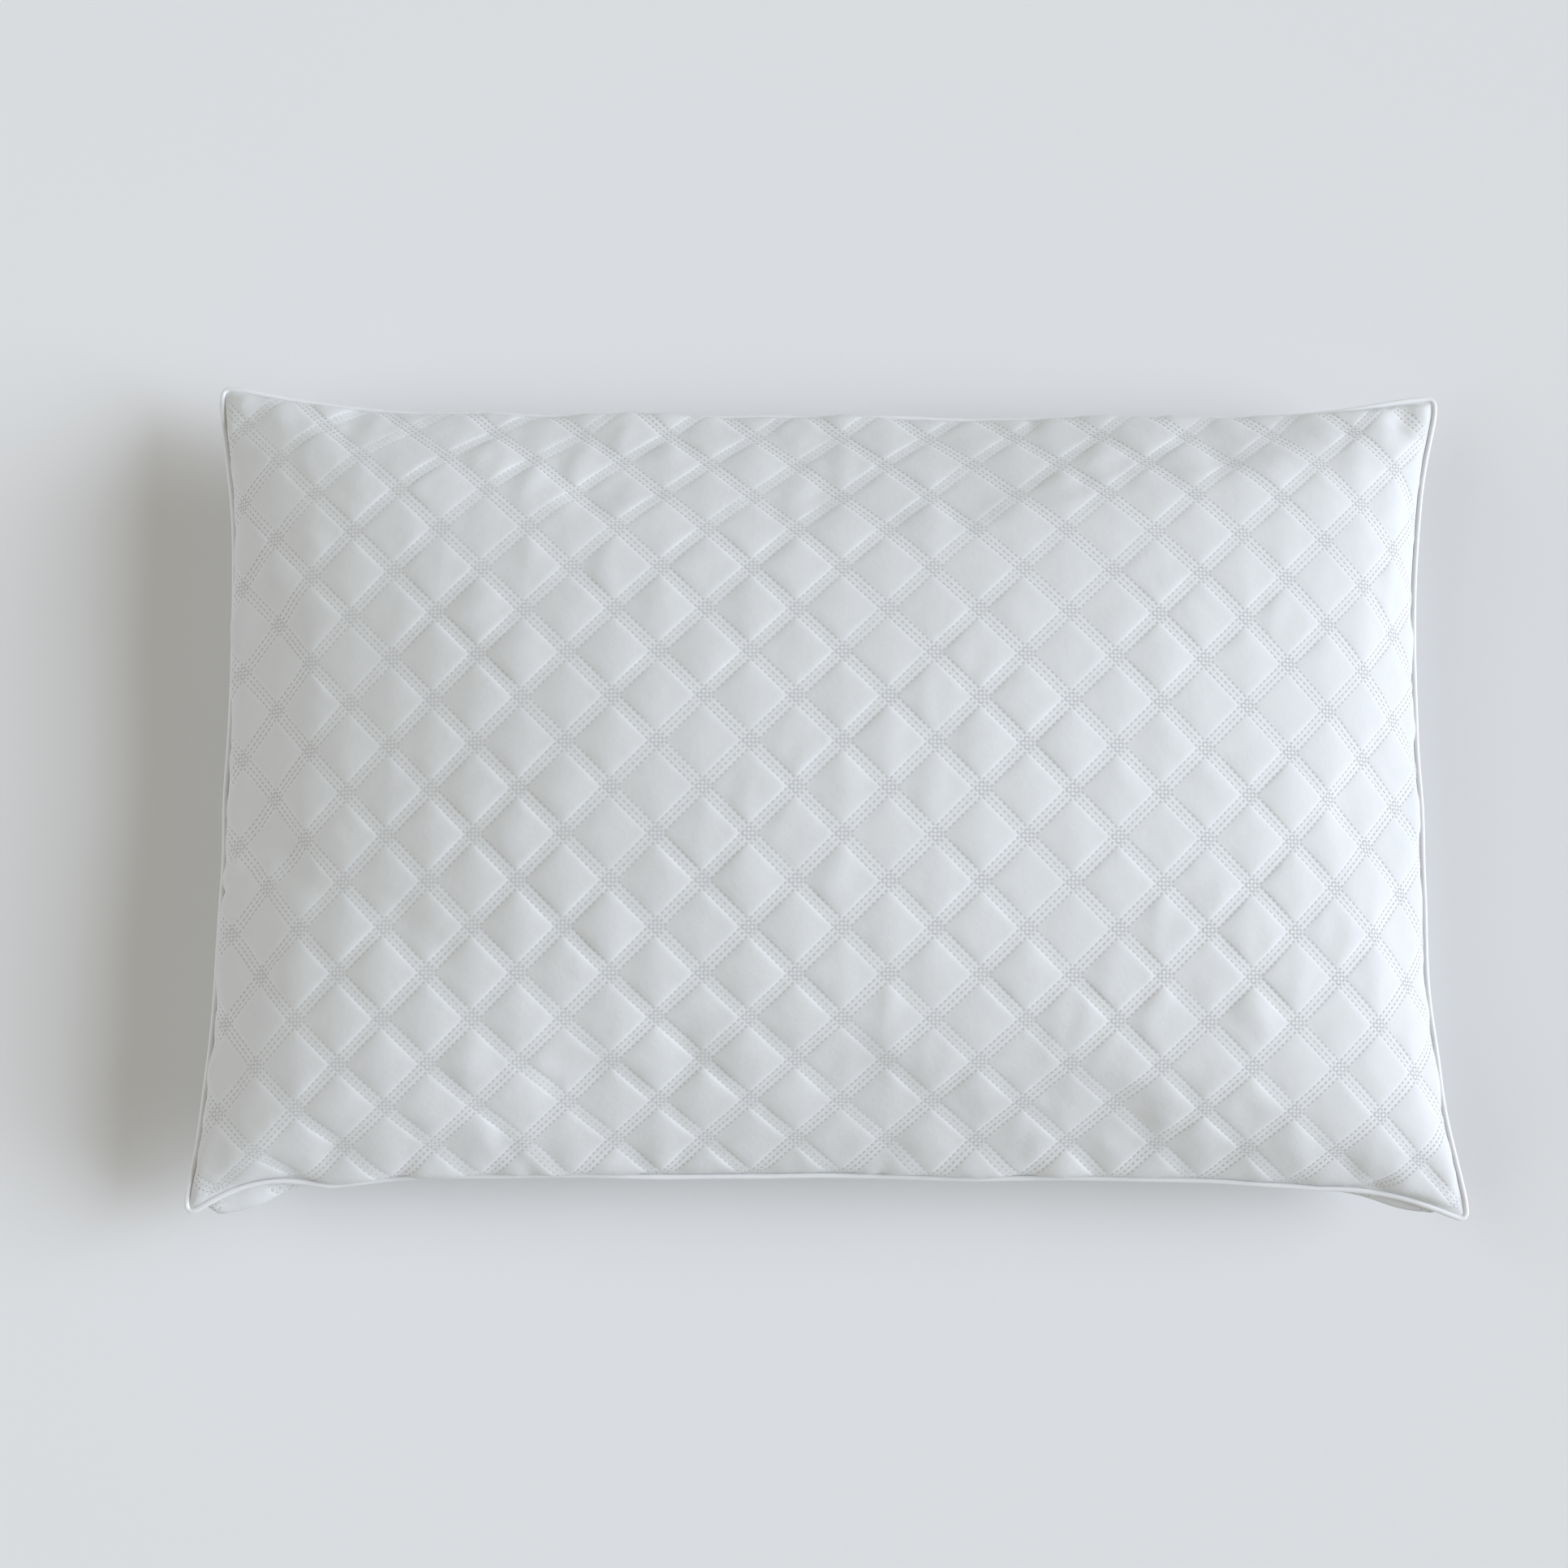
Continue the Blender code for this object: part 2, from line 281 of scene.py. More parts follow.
def fullness(s, t):
    """The crown, from 0 at the seam to 1 in the middle. s and t run from -1 to 1."""
    s = s + CROWN_SKEW_LENGTH * (1 - s**2)
    t = t + CROWN_SKEW_WIDTH * (1 - t**2)
    along = np.abs(s) ** CROWN_POWERS_LENGTH[0]
    across = np.abs(t) ** CROWN_POWERS_WIDTH[0]
    bulge = np.maximum(0.0, 1 - along) ** CROWN_POWERS_LENGTH[1]
    bulge = bulge * np.maximum(0.0, 1 - across) ** CROWN_POWERS_WIDTH[1]
    return bulge * (1 + CROWN_CORNERS * along * across)


def outline(s, t):
    """The cut panel drawn in by its crown, and the height of the seam."""
    cut_back = CORNER_ROUND * np.abs(s * t) ** CORNER_POWER
    inwards, along = PULL_POWERS_X
    pull_x = np.where(s < 0, PULL_LEFT, PULL_RIGHT) * np.abs(s) ** inwards
    pull_x = pull_x * (1 - np.abs(t) ** along)
    inwards, along = PULL_POWERS_Y
    pull_y = np.where(t < 0, PULL_FRONT, PULL_BACK) * np.abs(t) ** inwards
    pull_y = pull_y * (1 - np.abs(s) ** along)
    x = np.sign(s) * (np.abs(s) * HALF_LENGTH - pull_x - cut_back)
    y = np.sign(t) * (np.abs(t) * HALF_WIDTH - pull_y - cut_back)
    return x, y, SEAM_HEIGHT - CORNER_DROP * np.abs(s * t) ** DROP_POWER


def top_start(s, t):
    x, y, seam = outline(s, t)
    rise = CROWN_HEIGHT - 0.6 * PUFF - SEAM_HEIGHT  # the puffs lie round the design's surface
    return np.stack([x, y, seam + rise * fullness(s, t)], axis=-1)


def bottom_start(s, t):
    x, y, seam = outline(s, t)
    share = np.minimum(1.0, BOTTOM_GAIN * fullness(s, t) / BOTTOM_KNEE)
    return np.stack([x, y, seam * (1 - share) ** BOTTOM_KNEE], axis=-1)


def shares(points, axis):
    """How far along its thread each point is, from -1 to 1."""
    steps = np.linalg.norm(np.diff(points, axis=axis), axis=-1)
    run = np.cumsum(steps, axis=axis)
    run = np.concatenate([np.zeros_like(np.take(run, [0], axis=axis)), run], axis=axis)
    return 2 * run / np.take(run, [-1], axis=axis) - 1


def look_up(table, a, b):
    """Bilinear values of a table whose rows and columns run from -1 to 1."""
    rows, columns = table.shape
    x = np.clip((a + 1) / 2 * (columns - 1), 0, columns - 1.000001)
    y = np.clip((b + 1) / 2 * (rows - 1), 0, rows - 1.000001)
    i, j = x.astype(int), y.astype(int)
    fx, fy = x - i, y - j
    low = table[j, i] * (1 - fx) + table[j, i + 1] * fx
    high = table[j + 1, i] * (1 - fx) + table[j + 1, i + 1] * fx
    return low * (1 - fy) + high * fy


def thread_grid(place):
    """The shape's points at an even grid of threads, so that no stretch of cloth is longer."""
    fine = 8  # points to a cell
    columns, rows = fine * CELLS_U + 1, fine * CELLS_V + 1
    a, b = np.meshgrid(np.linspace(-1, 1, columns), np.linspace(-1, 1, rows))
    points = place(np.sin(a * math.pi / 2), np.sin(b * math.pi / 2))
    share_u, share_v = shares(points, 1), shares(points, 0)
    u, v = np.meshgrid(np.linspace(-1, 1, CELLS_U + 1), np.linspace(-1, 1, CELLS_V + 1))
    a, b = np.arcsin(u) * 2 / math.pi, np.arcsin(v) * 2 / math.pi
    for _ in range(THREAD_ROUNDS):
        a_step = u - look_up(share_u, a, b)
        b_step = v - look_up(share_v, a, b)
        a = np.clip(a + THREAD_STEP * a_step, -1, 1)
        b = np.clip(b + THREAD_STEP * b_step, -1, 1)
    return place(np.sin(a * math.pi / 2), np.sin(b * math.pi / 2))


# ------------------------ meshes


def make_mesh(name, points, faces):
    mesh = bpy.data.meshes.new(name)
    mesh.from_pydata(np.asarray(points).tolist(), [], faces)
    mesh.update()
    thing = bpy.data.objects.new(name, mesh)
    bpy.context.scene.collection.objects.link(thing)
    return thing


def square(half):
    return [(-half, -half, 0), (half, -half, 0), (half, half, 0), (-half, half, 0)]


def grid_quads(ids):
    """The four corners of every cell of a grid of vertex numbers."""
    return np.stack([ids[:-1, :-1], ids[:-1, 1:], ids[1:, 1:], ids[1:, :-1]], axis=-1)


def bag_faces(top_ids, bottom_ids):
    """Quads of a closed bag, whose two grids share their rims."""
    faces = []
    for ids, flip in ((top_ids, False), (bottom_ids, True)):
        quads = grid_quads(ids).reshape(-1, 4)
        faces += (quads[:, ::-1] if flip else quads).tolist()
    return faces


def bag_ids(rows, columns):
    """Vertex numbers of both grids: all of the top, then the inside of the bottom."""
    top_ids = np.arange(rows * columns).reshape(rows, columns)
    bottom_ids = top_ids.copy()
    inner = (rows - 2) * (columns - 2)
    bottom_ids[1:-1, 1:-1] = rows * columns + np.arange(inner).reshape(rows - 2, columns - 2)
    return top_ids, bottom_ids


# ------------------------ settling the cloth


def add_cloth(bag):
    modifier = bag.modifiers.new("cloth", "CLOTH")
    cloth = modifier.settings
    cloth.quality = 6
    cloth.mass = 0.0004
    cloth.air_damping = 6
    cloth.tension_stiffness = 60
    cloth.compression_stiffness = 60
    cloth.shear_stiffness = 25
    cloth.bending_stiffness = 12
    cloth.tension_damping = 15
    cloth.compression_damping = 15
    cloth.shear_damping = 15
    cloth.bending_damping = 2
    cloth.shrink_min = SETTLE_SHRINK
    cloth.use_pressure = True
    cloth.uniform_pressure_force = SETTLE_PRESSURE
    cloth.effector_weights.gravity = 0.0
    cloth.vertex_group_mass = "seam"
    modifier.collision_settings.distance_min = 0.0015
    modifier.point_cache.frame_start = 1
    modifier.point_cache.frame_end = SETTLE_FRAMES


def settle(top, bottom):
    """Lets the cloth of both panels find its slack on a plate, with a little pressure inside."""
    rows, columns = top.shape[:2]
    top_ids, bottom_ids = bag_ids(rows, columns)
    points = np.concatenate([top.reshape(-1, 3), bottom[1:-1, 1:-1].reshape(-1, 3)])
    bag = make_mesh("settling", points, bag_faces(top_ids, bottom_ids))
    plate = make_mesh("plate", square(CUT_LENGTH), [(0, 1, 2, 3)])
    plate.modifiers.new("stop", "COLLISION")
    plate.collision.thickness_outer = 0.001
    plate.collision.cloth_friction = 10
    seam = np.concatenate([top_ids[0], top_ids[-1], top_ids[1:-1, 0], top_ids[1:-1, -1]])
    bag.vertex_groups.new(name="seam").add(seam.tolist(), 1.0, "REPLACE")
    add_cloth(bag)
    scene = bpy.context.scene
    for step in range(1, SETTLE_FRAMES + 1):
        scene.frame_set(step)
    settled = bag.evaluated_get(bpy.context.evaluated_depsgraph_get()).data
    moved = np.empty(len(points) * 3)
    settled.vertices.foreach_get("co", moved)
    scene.frame_set(1)
    for thing in (bag, plate):
        mesh = thing.data
        bpy.data.objects.remove(thing)
        bpy.data.meshes.remove(mesh)
    shift = moved.reshape(-1, 3) - points
    far = np.linalg.norm(shift, axis=1, keepdims=True)
    points = points + shift * np.minimum(1.0, SETTLE_CAP / np.maximum(far, 1e-9))
    points[:, 2] = np.maximum(points[:, 2], 0.0)
    return points[top_ids], points[bottom_ids]


# ------------------------ a panel's surface


class Panel:
    """One panel's surface, with its outward side."""

    def __init__(self, name, grid, side):
        self.name = name
        self.side = side
        self.cells = grid.shape[1] - 1, grid.shape[0] - 1
        first, last = 2 * grid[:1] - grid[1:2], 2 * grid[-1:] - grid[-2:-1]
        grid = np.concatenate([first, grid, last], axis=0)
        first, last = 2 * grid[:, :1] - grid[:, 1:2], 2 * grid[:, -1:] - grid[:, -2:-1]
        self.grid = np.concatenate([first, grid, last], axis=1)

    def at(self, u, v):
        """The smooth surface's places and outward directions at these threads."""
        cells_u, cells_v = self.cells
        i, wu, du = spline_taps((u / CUT_LENGTH + 0.5) * cells_u, cells_u + 1)
        j, wv, dv = spline_taps((v / CUT_WIDTH + 0.5) * cells_v, cells_v + 1)
        place, along, across = 0.0, 0.0, 0.0
        for b in range(4):
            for a in range(4):
                knot = self.grid[j + b, i + a]
                place = place + (wu[a] * wv[b])[:, None] * knot
                along = along + (du[a] * wv[b])[:, None] * knot
                across = across + (wu[a] * dv[b])[:, None] * knot
        return place, unit(np.cross(along, across) * self.side)

    def shaped(self):
        """The same panel with its swellings, folds and dents, on a finer grid."""
        cells_u, cells_v = self.cells[0] * FINER, self.cells[1] * FINER
        line_u = np.linspace(-1, 1, cells_u + 1) * HALF_LENGTH
        line_v = np.linspace(-1, 1, cells_v + 1) * HALF_WIDTH
        u, v = (x.ravel() for x in np.meshgrid(line_u, line_v))
        place, normal = self.at(u, v)
        place = place + seam_shift(u, v) + swell_shift(u, v, self.side) + ear_shift(u, v, self.side)
        place = place + normal * dents(u, v, self.side)[:, None]
        place[:, 2] = np.maximum(place[:, 2], 0.0)
        return Panel(self.name, place.reshape(cells_v + 1, cells_u + 1, 3), self.side)

    def layer(self, u, v, height, puff_share=0.0, creased=False):
        """A layer's points, at a height above the stitched rows, with a share of the puffs."""
        place, normal = self.at(u, v)
        edge = edge_distance(u, v)
        turn = smoothstep(edge, 0.0, RIM_TURN)[:, None]
        level = unit(outward(u, v) * (1 - turn) + normal * turn)
        place[:, 2] += self.side * RIM_CLEAR * (1 - smoothstep(edge, 0.0, RIM_FADE))
        if self.side < 0:  # the puffs press against the surface below, so the rows lie above it
            resting = 1 - smoothstep(place[:, 2], 0.0, REST_REACH)
            place[:, 2] += (PUFF + REST_LIFT) * resting * smoothstep(edge, 0.0, REST_FADE)
        relief = quilt_relief(u, v, self.side) * puff_share
        if creased:
            relief = relief + creases(u, v, edge, self.side)
        place = place + level * (height + relief)[:, None]
        if self.side < 0:
            place[:, 2] = np.maximum(place[:, 2], np.maximum(0.0, -height))
        return place


def outward(u, v):
    """The level direction out of the pillow, for places near the seam."""
    reach = 0.005
    x = np.sign(u) * np.exp((np.abs(u) - HALF_LENGTH) / reach)
    y = np.sign(v) * np.exp((np.abs(v) - HALF_WIDTH) / reach)
    out = np.stack([x, y, np.zeros_like(x)], axis=1)
    return out / np.maximum(np.linalg.norm(out, axis=1, keepdims=True), 1e-12)


def seam_sides(u, v):
    """For each seam: the distance in from it, the place along it in metres, and the way out."""
    return {
        "left": (u + HALF_LENGTH, v, (-1.0, 0.0, 0.0)),
        "right": (HALF_LENGTH - u, v, (1.0, 0.0, 0.0)),
        "front": (v + HALF_WIDTH, u, (0.0, -1.0, 0.0)),
        "back": (HALF_WIDTH - v, u, (0.0, 1.0, 0.0)),
    }


def seam_shift(u, v):
    """The seam's small waves, sideways and up, which fade a little way into both panels."""
    total = 0.0
    for seed, (near, along, out) in enumerate(seam_sides(u, v).values()):
        reach = np.exp(-((near / SEAM_WAVE_IN) ** 2))
        height, length = SEAM_WAVE_SIDEWAYS
        sideways = height * soft_noise(along, near, length, STEADY, 300 + seed)
        height, length = SEAM_WAVE_UPWARDS
        upwards = height * soft_noise(along, near, length, STEADY, 310 + seed)
        total = total + (reach * sideways)[:, None] * np.array(out)
        total = total + (reach * upwards)[:, None] * np.array([0.0, 0.0, 1.0])
    return total


def swell_shift(u, v, side):
    """The panel's swelling out over the seam."""
    total = 0.0
    narrow, square_ends = OVERHANG_POWERS
    share_uneven, length = OVERHANG_UNEVEN
    for seed, (name, (near, along, out)) in enumerate(seam_sides(u, v).items()):
        half = HALF_WIDTH if out[0] else HALF_LENGTH
        share = near / OVERHANG_IN
        shape = (share * np.exp(1 - share)) ** narrow * (1 - np.abs(along / half) ** square_ends)
        uneven = 1 + share_uneven * soft_noise(along, near, length, STEADY, 320 + seed)
        total = total + (OVERHANG[side][name] * shape * uneven)[:, None] * np.array(out)
    return total


def ear_shift(u, v, side):
    """At both front corners the seam rolls up and in, so that the lower panel shows before it."""
    total = np.zeros((len(u), 3))
    near = v + HALF_WIDTH
    rise, rise_reach = EAR_RISE
    for corner_way, reach, depth, swell_reach, swell in EAR_ROLLS:
        from_corner = np.maximum(HALF_LENGTH + corner_way * u, 0.0)
        run = np.sin(math.pi * np.minimum(from_corner / reach, 1.0))
        total[:, 1] += depth * run * np.exp(-((near / EAR_REACH[side]) ** 2))
        if side < 0:
            peak, less, tip = EAR_SWELL_IN
            part = near / (peak - less * np.exp(-from_corner / tip))
            blunt, full = EAR_SWELL_FORM
            swollen = np.sin(math.pi * np.minimum(from_corner / swell_reach, 1.0) ** blunt)
            swollen = swollen * smoothstep(from_corner, *EAR_SWELL_START)
            total[:, 1] -= swell * swollen * (part * np.exp(1 - part)) ** full
        total[:, 2] += rise * depth * run * np.exp(-((near / rise_reach) ** 2))
    return total


def turned(u, v, angle):
    """Places along and across a direction, in degrees from u."""
    turn = math.radians(angle)
    along = u * math.cos(turn) + v * math.sin(turn)
    return along, v * math.cos(turn) - u * math.sin(turn)


def dents(u, v, side):
    """Heights of the larger hollows, folds and puckers."""
    height, length, width = PANEL_UNEVEN
    total = height * soft_noise(u, v, length, width, 330 + side)
    if side < 0:
        return total
    sides = seam_sides(u, v)
    for name, middle, slant, depth, width, length in PUCKERS:
        near, along, _ = sides[name]
        across = along - middle - slant * near
        total = total - depth * bump(across, 0.0, width) * np.exp(-near / length)
        beside = bump(across, 2.0 * width, 1.3 * width)  # the cloth that it pushes up
        total = total + 0.5 * depth * beside * np.exp(-near / length)
    for middle_u, middle_v, angle, depth, length, width in HOLLOWS:
        along, across = turned(u - middle_u, v - middle_v, angle)
        total = total - depth * bump(along, 0.0, length) * bump(across, 0.0, width)
    return total * smoothstep(edge_distance(u, v), 0.0, DENT_FADE)


def edge_distance(u, v):
    return np.minimum(HALF_LENGTH - np.abs(u), HALF_WIDTH - np.abs(v))


def quilt_axes(u, v, side):
    """Places across the two directions of the quilting bands."""
    a, b = u - QUILT_PHASE[side][0], v - QUILT_PHASE[side][1]
    return (a + b) / math.sqrt(2), (a - b) / math.sqrt(2)


def thread_axes(p, q, side):
    """The threads (u, v) at these places across the bands."""
    phase_u, phase_v = QUILT_PHASE[side]
    return (p + q) / math.sqrt(2) + phase_u, (p - q) / math.sqrt(2) + phase_v


def from_band(x):
    """The distance to the middle row of the nearest band."""
    return np.abs((x + QUILT_PITCH / 2) % QUILT_PITCH - QUILT_PITCH / 2)


def swelling(d):
    """0 within a band, and rising to 1 halfway between two bands."""
    share = np.clip((d - ROW_GAP) / (QUILT_PITCH / 2 - ROW_GAP), 0.0, 1.0)
    return 1 - (1 - share) ** PUFF_EDGE


def strips(d):
    """The narrow raised strips between a band's rows, and 1 outside the band."""
    raised = np.abs(np.sin(math.pi * d / ROW_GAP))
    return np.where(d < ROW_GAP, raised, smoothstep(d, ROW_GAP, STRIP_END))


def quilt_relief(u, v, side):
    """The height of the puffs and strips over the stitched rows."""
    p, q = quilt_axes(u, v, side)
    dp, dq = from_band(p), from_band(q)
    count = 64
    random = np.random.default_rng(31 if side > 0 else 32).uniform(*PUFF_RANGE, (count, count))
    row, column = (np.floor(x / QUILT_PITCH).astype(int) % count for x in (p, q))
    fade = smoothstep(edge_distance(u, v), 0.0, PUFF_FADE)
    puffs = PUFF * random[row, column] * (swelling(dp) * swelling(dq)) ** PUFF_ROUND
    if side > 0:
        middle_u, middle_v, reach, more = PUFF_STRONG
        puffs = puffs * (1 + more * bump(np.hypot(u - middle_u, v - middle_v), 0.0, reach))
    return fade * (puffs + STRIP_PUFF * strips(dp) * strips(dq))


def creases(u, v, edge, side):
    """Small wrinkles of the face cloth: in the cells, and running in from the seam."""
    seed = 100 if side > 0 else 200
    p, q = quilt_axes(u, v, side)
    free = 0.2 + 0.8 * np.sqrt(swelling(from_band(p)) * swelling(from_band(q)))
    depth, length, width = CREASE_BASE
    total = depth * soft_noise(u, v, length, width, seed)
    for n, (angle, length, width, depth) in enumerate(CREASES):
        a, b = turned(u, v, angle)
        line = soft_noise(a, b, length, width, seed + 10 + n)
        patches = soft_noise(u, v, CREASE_PATCH, CREASE_PATCH, seed + 20 + n)
        total = total + depth * smoothstep(patches, -0.1, 0.8) * line
    total = total * free * smoothstep(edge, 0.0, CREASE_FADE)
    for name, (near, along, _) in seam_sides(u, v).items():
        seed += 1
        strength = SEAM_CREASE[name] if side > 0 else SEAM_CREASE_BELOW
        for more, (depth, width, length, whole, reach) in ((40, SEAM_LONG), (50, SEAM_SHORT)):
            line = soft_noise(along, near, width, length, seed + more)
            share = np.exp(-near / reach) * smoothstep(near, 0.0, whole)
            total = total + depth * strength * share * line
    return np.where(total < 0.0, CREASE_FLOOR * np.tanh(total / CREASE_FLOOR), total)


# ------------------------ sheets cut to the panel


def pattern_lines(samples):
    """Places across the bands where the sheet has vertices."""
    count = int(QUILT_REACH / QUILT_PITCH) + 2
    one = sorted({sign * x for x in samples for sign in (-1, 1)} | {0.0, QUILT_PITCH / 2})
    return np.concatenate([k * QUILT_PITCH + np.array(one) for k in range(-count, count + 1)])


def rim_loop(inset, step):
    """Evenly spaced threads round the panel, at this distance inside its seam."""
    count_u, count_v = round(CUT_LENGTH / step), round(CUT_WIDTH / step)
    x, y = HALF_LENGTH - inset, HALF_WIDTH - inset
    along = np.linspace(-1, 1, count_u + 1)[:-1]
    across = np.linspace(-1, 1, count_v + 1)[:-1]
    sides = [(along * x, np.full(count_u, -y)), (np.full(count_v, x), across * y)]
    sides += [(-along * x, np.full(count_u, y)), (np.full(count_v, -x), -across * y)]
    return np.concatenate([np.stack(side, axis=1) for side in sides])


def cut_sheet(side, samples, insets, step):
    """A sheet's threads (u, v), its faces and its rim. Its vertices follow the quilting inside,
    and the seam along the rim."""
    lines = pattern_lines(samples)
    p, q = np.meshgrid(lines, lines, indexing="ij")
    u, v = thread_axes(p.ravel(), q.ravel(), side)
    points = np.stack([u, v], axis=1)
    size = len(lines)
    margin = insets[-1] + step * 0.8
    inside = edge_distance(u, v) > margin
    ids = np.arange(size * size).reshape(size, size)
    quads = grid_quads(ids)
    kept = inside[quads].all(axis=-1)
    inner = quads[kept]
    edges = np.sort(np.concatenate([inner[:, [k, (k + 1) % 4]] for k in range(4)]), axis=1)
    edges, uses = np.unique(edges, axis=0, return_counts=True)
    border = edges[uses == 1]

    loops = [rim_loop(inset, step) for inset in insets]
    around = len(loops[0])
    used = np.zeros(size * size, bool)
    used[inner.ravel()] = True
    loose = np.nonzero(inside & ~used)[0]
    ring = np.concatenate([np.unique(border), loose])
    number = {int(k): n for n, k in enumerate(ring)}
    flat = np.concatenate([points[ring], loops[-1]])
    wires = [(number[int(a)], number[int(b)]) for a, b in border]
    base = len(ring)
    wires += [(base + k, base + (k + 1) % around) for k in range(around)]
    made = delaunay_2d_cdt([Vector(x) for x in flat], wires, [], 1, 1e-9)
    source = [group[0] if group else -1 for group in made[3]]
    middle = np.array([np.mean([flat[source[k]] for k in tri], axis=0) for tri in made[2]])
    mp, mq = quilt_axes(middle[:, 0], middle[:, 1], side)
    row = np.searchsorted(lines, mp) - 1
    column = np.searchsorted(lines, mq) - 1
    outside_quads = ~kept[row, column]

    grid_ids = np.nonzero(used | np.isin(np.arange(size * size), loose))[0]
    renumber = np.full(size * size, -1)
    renumber[grid_ids] = np.arange(len(grid_ids))
    start = len(grid_ids)
    threads = np.concatenate([points[grid_ids]] + loops[::-1])
    faces = renumber[inner].tolist()
    flat_ids = np.concatenate([renumber[ring], start + np.arange(around)])
    for tri, good in zip(made[2], outside_quads):
        if good:
            corners = [int(flat_ids[source[k]]) for k in tri]
            a, b, c = (threads[k] for k in corners)
            turn = (b[0] - a[0]) * (c[1] - a[1]) - (b[1] - a[1]) * (c[0] - a[0])
            faces.append(corners if turn > 0 else corners[::-1])
    for level in range(len(insets) - 1):
        low = start + level * around
        for k in range(around):
            n = (k + 1) % around
            faces.append([low + around + k, low + around + n, low + n, low + k])
    rim = start + (len(insets) - 1) * around + np.arange(around)
    return threads, faces, rim


def shell(name, panel, outer_cut, inner_cut, outer, inner):
    """A closed layer between two depths. Each of outer and inner is (height, share of the puffs,
    whether it is creased)."""
    threads_a, faces_a, rim_a = outer_cut
    threads_b, faces_b, rim_b = inner_cut
    points_a, points_b = (
        panel.layer(threads[:, 0], threads[:, 1], np.full(len(threads), height), *rest)
        for threads, (height, *rest) in ((threads_a, outer), (threads_b, inner))
    )
    shift = len(threads_a)
    faces = list(faces_a) + [[k + shift for k in face[::-1]] for face in faces_b]
    around = len(rim_a)
    for k in range(around):
        n = (k + 1) % around
        faces.append([int(rim_a[n]), int(rim_a[k]), int(rim_b[k]) + shift, int(rim_b[n]) + shift])
    if panel.side < 0:
        faces = [face[::-1] for face in faces]
    piece = make_mesh(name, np.concatenate([points_a, points_b]), faces)
    threads = np.concatenate([threads_a, threads_b])
    p, q = quilt_axes(threads[:, 0], threads[:, 1], panel.side)
    quilt = piece.data.attributes.new("quilt", "FLOAT_VECTOR", "POINT")
    values = np.stack([p, q, edge_distance(threads[:, 0], threads[:, 1])], axis=1)
    quilt.data.foreach_set("vector", values.ravel())
    piece.data.shade_smooth()
    piece.data.set_sharp_from_angle(angle=math.radians(75))
    return piece


# ------------------------ stitches


def stitch_places(panel, along_p):
    """Start and end threads of every stitch of the rows that run along one direction."""
    count = int(QUILT_REACH / QUILT_PITCH) + 2
    rows = [k * QUILT_PITCH + n * ROW_GAP for k in range(-count, count + 1) for n in (-1, 0, 1)]
    count = int(QUILT_REACH / STITCH) + 12
    starts = np.arange(-count, count) * STITCH
    row, start = (x.ravel() for x in np.meshgrid(rows, starts, indexing="ij"))
    along = start[:, None] + np.array(STITCH_SHARES) * STITCH
    across = np.repeat(row[:, None], len(STITCH_SHARES), axis=1)
    p, q = (along, across) if along_p else (across, along)
    u, v = thread_axes(p, q, panel.side)
    inside = (edge_distance(u, v) > EDGE_CLEAR).all(axis=1)
    return u[inside], v[inside]


def add_stitches(name, panel, along_p):
    """Every stitch as a short arched thread, sunk into its two needle holes."""
    u, v = stitch_places(panel, along_p)
    count = len(u)
    lift = np.array(STITCH_LIFTS) + (STITCH_OVER if along_p else 0.0)
    flat_u, flat_v = u.ravel(), v.ravel()
    points = panel.layer(flat_u, flat_v, np.tile(lift, count), 1.0, True).reshape(count, 4, 3)
    _, normal = panel.at(u.mean(axis=1), v.mean(axis=1))
    run = unit(points[:, 3] - points[:, 0])
    across = unit(np.cross(normal, run))
    up = np.cross(run, across)
    sides = STITCH_SIDES
    turns = np.arange(sides) * 2 * math.pi / sides + math.pi / 2
    cosines, sines = np.cos(turns)[None, :, None], np.sin(turns)[None, :, None]
    spoke = cosines * across[:, None] + sines * up[:, None]
    rings = [points[:, ring : ring + 1] + STITCH_RADIUS * spoke for ring in (1, 2)]
    vertices = np.concatenate([points[:, :1], *rings, points[:, 3:]], axis=1)
    one = []
    for k in range(sides):
        n = (k + 1) % sides
        one.append([0, 1 + n, 1 + k, -1])
        one.append([1 + k, 1 + n, 1 + sides + n, 1 + sides + k])
        one.append([1 + 2 * sides, 1 + sides + k, 1 + sides + n, -1])
    faces = []
    per = 2 + 2 * sides
    for base in range(0, count * per, per):
        for face in one:
            faces.append([base + k for k in face if k >= 0])
    piece = make_mesh(name, vertices.reshape(-1, 3), faces)
    piece.data.shade_smooth()
    return piece


# ------------------------ the seam and its piping


class Rim:
    """The seam line as a closed row of stations, each with its outward direction."""

    def __init__(self, top, step):
        loop = rim_loop(0.0, step)
        line, _ = top.at(loop[:, 0], loop[:, 1])
        for _ in range(3):
            line = (np.roll(line, 1, axis=0) + 2 * line + np.roll(line, -1, axis=0)) / 4
        self.threads = loop
        self.line = line
        run = unit(np.roll(line, -1, axis=0) - np.roll(line, 1, axis=0))
        self.out = unit(np.cross(run, (0.0, 0.0, 1.0)))
        self.up = np.cross(self.out, run)
        self.length = np.linalg.norm(np.roll(line, -1, axis=0) - line, axis=1).sum()


